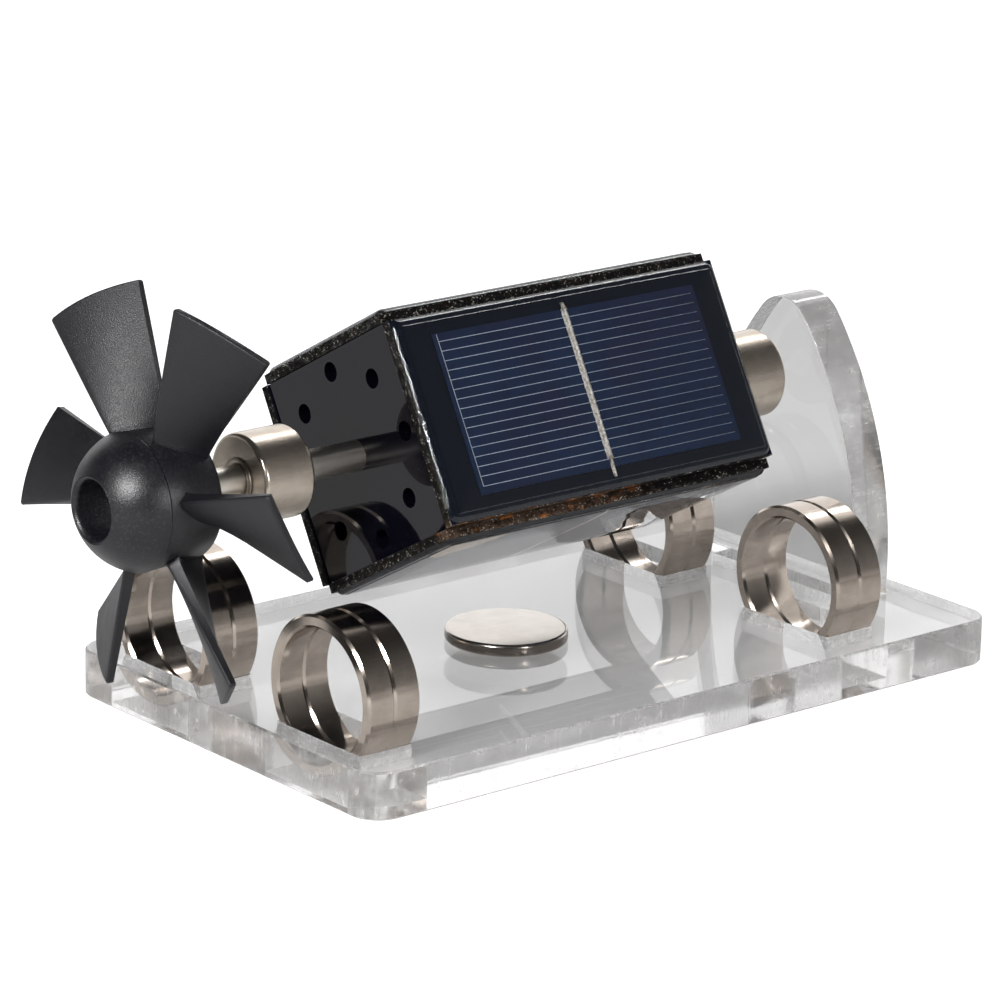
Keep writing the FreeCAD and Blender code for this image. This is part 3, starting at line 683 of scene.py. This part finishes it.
makeDisc()
print("stand")


# The bushes between the shaft and its magnets, with the collar that shows round the shaft

bushSizes = {
    "bore": 2.53, "skin": 3.08, "recess": 0.6, "collar": 3.55, "proud": 0.35, "lift": 0.02,
    "ends": [("left", -62.1, -52.5), ("right", 46.3, 36.7)],  # a magnet's outer and inner face
}


def makeBushes():
    s = bushSizes
    for end, face, inner in s["ends"]:
        outward = 1 if face > inner else -1
        start = (inner - face) * outward + s["recess"]
        profile = [
            (start, s["bore"]), (start, s["skin"]), (s["lift"], s["skin"]), (s["lift"], s["collar"] - 0.1),
            (s["lift"] + 0.1, s["collar"]), (s["proud"] - 0.12, s["collar"]),
            (s["proud"] - 0.03, s["collar"] - 0.04), (s["proud"], s["collar"] - 0.14),
            (s["proud"], s["bore"] + 0.2), (s["proud"] - 0.15, s["bore"]),
        ]
        verts, faces = lathe([(face + out * outward, radius) for out, radius in profile], 72)
        bush = newPiece(f"bush_{end}", verts, faces, 40, collarMetal)
        bush.data.transform(Matrix.Translation((0, 0, axisHeight * mm)))
        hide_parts(f"magnet_bush_{end}")
        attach(bush, "rotor")


makeBushes()


# The solar boards

boardSizes = {
    "middle": boardMiddle, "length": 67.0, "width": 33.5, "face": 18.4, "cellTop": 0.25,
    "inset": 0.15, "sink": 0.06, "corner": 1.6, "coarse": 8,
    "slopes": [(0, 66), (0.1, 52), (0.3, 44), (0.62, 36), (0.8, 8), (1.27, 5), (1.33, 38), (1.42, 40),
               (1.48, 4), (4.0, 2.4), (9.0, 0)],  # distance from the resin's rim, and degrees
    "rows": [2.1, 1.8, 1.6, 1.52, 1.48, 1.46, 1.44, 1.42, 1.38, 1.35, 1.33, 1.31, 1.29, 1.27, 1.1, 0.9, 0.82,
             0.76, 0.7, 0.64, 0.6, 0.52, 0.42, 0.32, 0.26, 0.18, 0.1, 0.06, 0.03, 0],  # mesh rows at the rim
    "fingerFirst": 11.8, "fingers": 16, "pitch": 1.575, "fingerWide": 0.095, "fingerHigh": 0.03,
    "fingerFrom": -31.5, "fingerTo": 21.0, "collectorTop": 13.0,
    "ribbonAt": -5.5, "ribbonWide": 1.3, "ribbonFrom": -14.8, "ribbonTo": 14.3,
    "tabWide": 0.75, "tabFrom": -12.0, "tabTo": 13.3, "tin": 0.15, "dab": 0.225,
    "ribbonSection": [(-0.5, 0), (-0.48, 0.6), (-0.36, 1.0), (-0.16, 0.75), (0, 0.45), (0.16, 0.7),
                      (0.36, 0.95), (0.48, 0.6), (0.5, 0)],  # shares of the width and of the height
}


def domeHeight(s, edgeDistance):  # the slopes in degrees, added up from the rim inwards
    height, before, lean = 0.0, 0.0, s["slopes"][0][1]
    for distance, slope in s["slopes"][1:]:
        reach = min(edgeDistance, distance)
        if reach > before:
            part = (reach - before) / (distance - before)
            nowLean = lean + (slope - lean) * part
            height += (reach - before) * math.tan(math.radians((lean + nowLean) / 2))
        before, lean = distance, slope
    return height


def domePoint(s, along, across):  # a grid point on the dome; the grid's square rings get round corners
    innerX = s["length"] / 2 - s["inset"] - s["corner"]
    innerY = s["width"] / 2 - s["inset"] - s["corner"]
    pastX, pastY = abs(along) - innerX, abs(across) - innerY
    reach = max(pastX, pastY)
    if min(pastX, pastY) > 0.001:
        shrink = reach / math.hypot(pastX, pastY)
        along = math.copysign(innerX + pastX * shrink, along)
        across = math.copysign(innerY + pastY * shrink, across)
    return along, across, domeHeight(s, s["corner"] - reach)


def spread(s, size):  # where the grid's lines lie over a length or width, close together at the rim
    half = size / 2 - s["inset"]
    near = [half - row for row in s["rows"]]
    inner, farSteps, midSteps = half - s["coarse"], 20, 8
    side = [inner * step / farSteps for step in range(farSteps)]
    side += [inner + (near[0] - inner) * step / midSteps for step in range(midSteps)] + near
    return [-place for place in reversed(side[1:])] + side


def domeMesh(s):
    xs = spread(s, s["length"])
    ys = spread(s, s["width"])
    verts = [domePoint(s, along, across) for along in xs for across in ys]
    faces = []
    wide = len(ys)
    for row in range(len(xs) - 1):
        for column in range(wide - 1):
            here, after = row * wide + column, (row + 1) * wide + column
            faces.append((here, after, after + 1, here + 1))
    rim = [row * wide for row in range(len(xs))]
    rim += [(len(xs) - 1) * wide + column for column in range(1, wide)]
    rim += [row * wide + wide - 1 for row in range(len(xs) - 2, -1, -1)]
    rim += [column for column in range(wide - 2, 0, -1)]
    start = len(verts)
    verts += [(*verts[corner][:2], -s["sink"]) for corner in rim] + [(0, 0, -s["sink"])]
    for step in range(len(rim)):  # the side, and the flat underside about its middle
        after = (step + 1) % len(rim)
        faces.append((rim[step], rim[after], start + after, start + step))
        faces.append((start + step, start + after, start + len(rim)))
    return verts, faces


def stripMesh(length, width, height):  # a strip along X with a crowned top and narrower ends
    crown = ((-1, 0), (-0.9, 0.7), (-0.4, 1), (0.4, 1), (0.9, 0.7), (1, 0))
    end, taper = length / 2, 0.02
    loops = []
    for along, share in ((-end, 0.7), (-end + taper, 1.0), (end - taper, 1.0), (end, 0.7)):
        loops.append([(along, y * width / 2 * share, z * height * share) for y, z in crown])
    return closedLoops(loops)


def onSide(number):  # from flat on the board's face to side 1..4
    turn = (number - 2) * 90 - restTurn
    outward = Matrix.Translation((0, 0, boardSizes["face"] * mm))
    return aboutShaft(turn, boardSizes["middle"]) @ outward


def makeResin(number):
    verts, faces = domeMesh(boardSizes)
    dome = newPiece(f"resin_dome_{number}", verts, faces, 60, resin)
    dome.data.transform(onSide(number))
    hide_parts(f"resin_cover_{number}")
    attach(dome, "rotor")


def makeFingers():
    s = boardSizes
    lift = s["face"] + s["cellTop"]
    middle = (s["fingerFrom"] + s["fingerTo"]) / 2 - s["middle"]
    verts, faces = stripMesh(s["fingerTo"] - s["fingerFrom"], s["fingerWide"], s["fingerHigh"])
    verts = [(x + middle, y + s["fingerFirst"], z + lift) for x, y, z in verts]
    finger = newPiece("finger", verts, faces)
    grow = aroundTree(fingerSilver)
    sizes = {"rows": s["fingers"], "pitch": (0, -s["pitch"] * mm, 0), "sides": 4, "step": math.pi / 2}
    place = aboutShaft(-restTurn, s["middle"])
    fingers = grown("cell_fingers", finger, grow, sizes, place, fingerSilver)
    last = s["fingerFirst"] - (s["fingers"] - 1) * s["pitch"]
    verts, faces = stripMesh(s["collectorTop"] - last, s["fingerWide"] * 1.3, s["fingerHigh"])
    across = (s["collectorTop"] + last) / 2
    verts = [(s["fingerFrom"] - s["middle"] - y, across + x, z + lift) for x, y, z in verts]
    line = newPiece("line", verts, faces)
    sizes = {"rows": 1, "sides": 4, "step": math.pi / 2}
    lines = grown("cell_collectors", line, grow, sizes, place, fingerSilver)
    for piece in (fingers, lines):  # printed on the cells, so no CAD part is replaced
        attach(piece, "rotor")


def tinLump(along, side):  # how far the tin stands out, uneven along the ribbon
    slow = math.sin(along * 1.9 + side) + math.sin(along * 3.7 + 2 * side)
    quick = math.sin(along * 9.1 + 5 * side) + math.sin(along * 14.3 - 3 * side)
    return 1 + 0.16 * slow + 0.13 * quick


def ribbonSize(s, across):  # width and height of the tin at one place along the ribbon
    onTab = across < s["tabFrom"] or across > s["tabTo"]
    wide = s["tabWide"] if onTab else s["ribbonWide"]
    wide *= 1 + 0.05 * math.sin(across * 5.3) + 0.04 * math.sin(across * 11.7)
    dabs = ((s["tabFrom"], 0.5), (s["tabTo"], 0.4), (s["ribbonTo"] - 0.35, 0.4))
    high = s["tin"] + sum(s["dab"] * math.exp(-((across - spot) / reach) ** 2) for spot, reach in dabs)
    return wide, high


def makeRibbons():
    s = boardSizes
    lift = s["face"] + s["cellTop"]
    loops = []
    rows = 220
    for row in range(rows + 1):
        across = s["ribbonFrom"] + (s["ribbonTo"] - s["ribbonFrom"]) * row / rows
        wide, high = ribbonSize(s, across)
        if row in (0, rows):
            wide, high = wide * 0.6, high * 0.3
        loop = []
        for share, rise in s["ribbonSection"]:
            lump = tinLump(across, share * 3)
            loop.append((s["ribbonAt"] - s["middle"] + share * wide, across, lift + high * rise * lump))
        loops.append(loop)
    verts, faces = closedLoops(loops)
    ribbon = newPiece("ribbon", verts, faces)
    sizes = {"rows": 1, "sides": 4, "step": math.pi / 2}
    ribbons = grown("cell_ribbons", ribbon, aroundTree(ribbonTin), sizes,
                    aboutShaft(-restTurn, s["middle"]), ribbonTin, 60)
    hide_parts(*[f"cell_ribbon_{number}" for number in (1, 2, 3, 4)])
    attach(ribbons, "rotor")


for sideNumber in (1, 2, 3, 4):
    makeResin(sideNumber)
makeFingers()
makeRibbons()
print("solar boards")


# Floor, light and camera

def makeFloor():
    paint = Paint("paleFloor")
    grain = paint.noise(paint.place(), 0.02, 3.0, 0.5)
    paint.set(Base_Color=paint.blend(grain, (0.73, 0.73, 0.73), (0.75, 0.75, 0.75)), Roughness=0.9)
    seen = paint.add("ShaderNodeLightPath", out="Is Camera Ray")
    through = paint.add("ShaderNodeLightPath", out="Is Transmission Ray")
    glow = seen * 0.85 + through * 0.06 + 0.01  # white for the camera, and paler through the clear sheets
    paint.set(Emission_Color=(1, 1, 1), Emission_Strength=glow)
    half, low = 4000, -0.06  # a hair below the base
    corners = [(-half, -half, low), (half, -half, low), (half, half, low), (-half, half, low)]
    floor = newPiece("floor", corners, [(0, 1, 2, 3)], material=paint.material)


skyLevels = {"box": 1.36, "lowBand": 0.6, "strip": 0.5, "below": 0.8, "throughSheets": 0.88}


def makeSky():  # a box of light at the right rear, a grey right, a low band behind, and dark elsewhere
    s = skyLevels
    world = bpy.data.worlds.new("studio")
    world.use_nodes = True
    bpy.context.scene.world = world
    paint = Paint(tree=world.node_tree)
    x, y, z = paint.split(paint.add("ShaderNodeTexCoord", out="Generated"))
    fromAxis = y * y + z * z + 0.0001
    toBack = y / fromAxis.maths("SQRT", fromAxis)
    toBox = x * 0.752 + y * 0.652 + z * 0.1
    bright = toBox.rise(0.62, 0.72)
    rightSide = ((0.31 - z * 0.35) * x.rise(0.0, 0.5)).larger(0.035)
    lowBand = (0.3 - z).rise(0.0, 0.3) * toBack.rise(-0.4, 0.3)
    strip = (0.11 - z).rise(0.0, 0.03) * x.rise(0.2, 0.5)  # low on the right
    level = (rightSide + lowBand * s["lowBand"]).larger(strip * s["strip"])
    level = bright * s["box"] + (1 - bright) * level
    below = (0 - z).rise(-0.02, 0.02)
    level = below * s["below"] + (1 - below) * level
    through = paint.add("ShaderNodeLightPath", out="Is Transmission Ray")
    level = level + through * (level.larger(s["throughSheets"]) - level)
    seen = paint.add("ShaderNodeLightPath", out="Is Camera Ray")
    level = seen + (1 - seen) * level  # white for the camera
    background = world.node_tree.nodes["Background"]
    paint.feed(background.inputs["Color"], (1, 1, 1))
    paint.feed(background.inputs["Strength"], level)


lamps = [  # name, place and aim, width and height, all in metres, and watts
    ("leftSoftbox", (-0.70, -0.24, 0.47), (-0.05, 0, 0.04), 0.16, 0.16, 8),
    ("rightStrip", (0.56, 0.34, 0.68), (0, 0, 0.04), 0.34, 0.08, 0.75),
    ("frontLamp", (-0.07, -0.85, 0.29), (0, 0, 0.04), 0.06, 0.06, 2.2),
]


def makeLight(name, place, aim, width, height, power):  # its width lies level, along X
    lamp = bpy.data.lights.new(name, "AREA")
    lamp.shape = "RECTANGLE"
    lamp.size = width
    lamp.size_y = height
    lamp.energy = power
    thing = bpy.data.objects.new(name, lamp)
    away = (Vector(place) - Vector(aim)).normalized()
    level = (Vector((1, 0, 0)) - away.x * away).normalized()
    turn = Matrix((level, away.cross(level), away)).transposed().to_4x4()
    thing.matrix_world = Matrix.Translation(Vector(place)) @ turn
    bpy.context.scene.collection.objects.link(thing)


cameraSizes = {  # angles in radians
    "place": (-506.58, -591.34, 264.83), "yaw": 0.69918, "pitch": 0.29302, "roll": 0.02155,
    "lens": 180, "sensor": 36,
}


def makeCamera():
    s = cameraSizes
    yaw, pitch, roll = s["yaw"], s["pitch"], s["roll"]
    ahead = Vector((math.cos(pitch) * math.sin(yaw), math.cos(pitch) * math.cos(yaw), -math.sin(pitch)))
    level = Vector((math.cos(yaw), -math.sin(yaw), 0))
    upright = level.cross(ahead)
    right = math.cos(roll) * level + math.sin(roll) * upright
    up = math.cos(roll) * upright - math.sin(roll) * level
    lens = bpy.data.cameras.new("camera")
    lens.lens = s["lens"]
    lens.sensor_width = s["sensor"]
    lens.clip_start = 0.01
    camera = bpy.data.objects.new("camera", lens)
    bpy.context.scene.collection.objects.link(camera)
    turn = Matrix((right, up, -ahead)).transposed().to_4x4()
    camera.matrix_world = Matrix.Translation(Vector(s["place"]) * mm) @ turn
    bpy.context.scene.camera = camera


makeFloor()
makeSky()
for lamp in lamps:
    makeLight(*lamp)
makeCamera()
bpy.context.scene.view_settings.view_transform = "Standard"
lightPaths = bpy.context.scene.cycles  # light runs far inside the clear sheets
lightPaths.max_bounces = 24
lightPaths.glossy_bounces = 20
lightPaths.transmission_bounces = 20
print("floor, light and camera")
